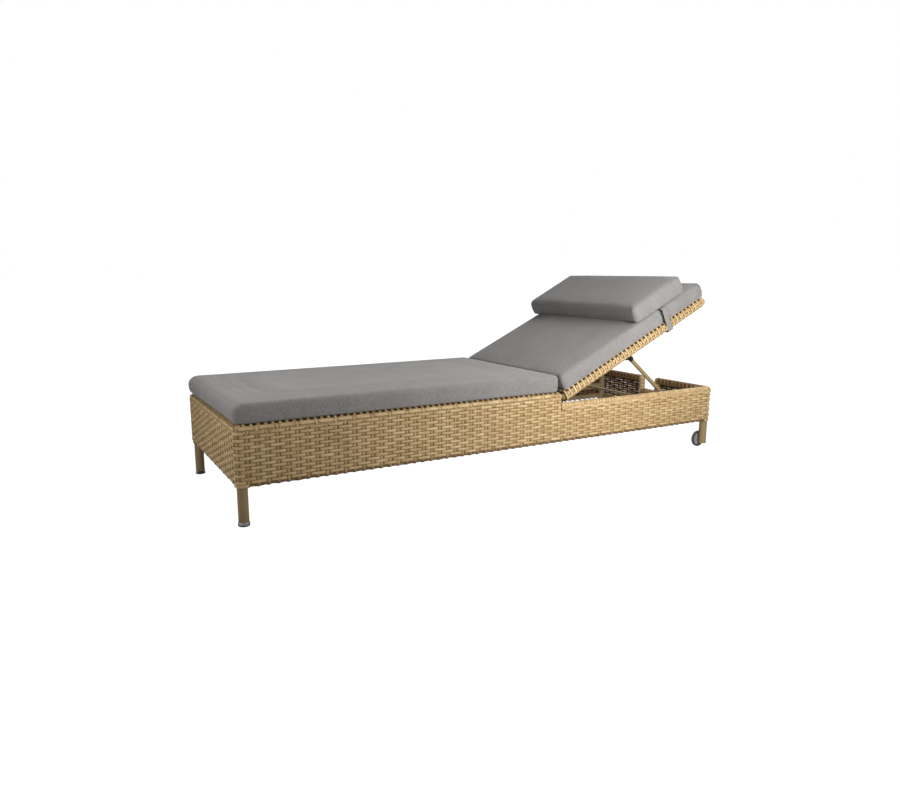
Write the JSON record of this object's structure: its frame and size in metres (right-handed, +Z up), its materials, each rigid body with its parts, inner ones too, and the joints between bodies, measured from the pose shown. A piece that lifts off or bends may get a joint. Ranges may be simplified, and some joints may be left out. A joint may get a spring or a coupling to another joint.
{
  "type": "reclining sun lounger",
  "caption": "Woven box sun lounger with a reclining backrest on a notched prop frame, a low rear well, seat and back cushions, a strapped headrest pillow and wheels under the head end.",
  "frame": {"origin": "on the floor under the middle of the whole length and width, which runs from the foot end of the woven box to the back of the wheels", "axes": "+X to the head end, +Y to the right-hand side of someone lying on it, +Z up"},
  "size_m": [2.0144, 0.694, 0.7197],
  "materials": {
    "powder_coat_bronze": "satin powder coat, bronze tan",
    "woven_strand": "flat extruded strand, streaked honey tan",
    "cushion_fabric": "woven outdoor fabric, warm mid grey",
    "strap_webbing": "flat elastic webbing, warm mid grey",
    "stainless": "brushed",
    "chrome_cup": "polished",
    "black_plastic": "moulded",
    "rubber_tan": "matt",
    "black_steel": "blackened",
    "wheel_grey": "moulded, satin",
    "wheel_tyre": "matt"
  },
  "bodies": {
    "base": {"foot_rail": "powder_coat_bronze", "side_rail_left": "powder_coat_bronze", "side_rail_right": "powder_coat_bronze", "rear_side_rail_left": "powder_coat_bronze", "rear_side_rail_right": "powder_coat_bronze", "head_rails": "powder_coat_bronze", "notch_frame": "powder_coat_bronze", "bottom_rail_left": "powder_coat_bronze", "bottom_rail_right": "powder_coat_bronze", "bottom_rail_foot": "powder_coat_bronze", "bottom_rail_head": "powder_coat_bronze", "leg_foot_left": "powder_coat_bronze", "leg_foot_right": "powder_coat_bronze", "leg_head_left": "powder_coat_bronze", "leg_head_right": "powder_coat_bronze", "posts": "powder_coat_bronze", "seat_cross_bars": "powder_coat_bronze", "hinge_cross_beam": "powder_coat_bronze", "rack_left": "powder_coat_bronze", "rack_right": "powder_coat_bronze", "side_weave_left": "woven_strand", "side_weave_right": "woven_strand", "rear_weave_left": "woven_strand", "rear_weave_right": "woven_strand", "foot_weave": "woven_strand", "head_weave": "woven_strand", "seat_deck_weave": "woven_strand", "rim_wraps": "woven_strand", "rear_wraps": "woven_strand", "notch_wraps": "woven_strand", "seat_cushion": "cushion_fabric", "bearing_screws": "stainless", "rack_screws": "stainless", "axle_bolts": "stainless", "foot_cups": "chrome_cup", "foot_pads": "black_plastic", "bearing_block_left": "black_plastic", "bearing_block_right": "black_plastic", "bumpers": "rubber_tan"},
    "backrest": {"back_rail_left": "powder_coat_bronze", "back_rail_right": "powder_coat_bronze", "back_top_rail": "powder_coat_bronze", "back_hinge_tube": "powder_coat_bronze", "back_cross_bars": "powder_coat_bronze", "back_weave": "woven_strand", "back_wraps": "woven_strand", "back_cushion": "cushion_fabric", "prop_brackets": "powder_coat_bronze", "prop_pins": "black_steel"},
    "headrest": {"headrest_pillow": "cushion_fabric", "headrest_strap": "strap_webbing"},
    "prop": {"prop_arm_left": "powder_coat_bronze", "prop_arm_right": "powder_coat_bronze", "prop_bar": "powder_coat_bronze", "prop_knuckles": "black_plastic"},
    "wheel_left": {"wheel_hub_left": "wheel_grey", "wheel_tyre_left": "wheel_tyre"},
    "wheel_right": {"wheel_hub_right": "wheel_grey", "wheel_tyre_right": "wheel_tyre"}
  },
  "joints": [
    {"name": "backrest_hinge", "type": "hinge", "parent": "base", "child": "backrest", "pos_m": [0.20875, 0, 0.289], "axis": [0, -1, 0], "range_deg": [-25.5, 14]},
    {"name": "prop_hinge", "type": "hinge", "parent": "backrest", "child": "prop", "pos_m": [0.55851, 0, 0.40819], "axis": [0, 1, 0], "range_deg": [-61.2, 33.6]},
    {"name": "headrest_slide", "type": "slide", "parent": "backrest", "child": "headrest", "axis": [0.9026, 0, 0.4305], "range_m": [-0.16, 0.04]},
    {"name": "wheel_left_spin", "type": "hinge", "parent": "base", "child": "wheel_left", "pos_m": [0.97325, -0.301, 0.034], "axis": [0, 1, 0], "continuous": true},
    {"name": "wheel_right_spin", "type": "hinge", "parent": "base", "child": "wheel_right", "pos_m": [0.97325, 0.301, 0.034], "axis": [0, 1, 0], "continuous": true}
  ],
  "couplings": [
    {"joint": "prop_hinge", "follows": "backrest_hinge", "ratio": 2.4}
  ]
}
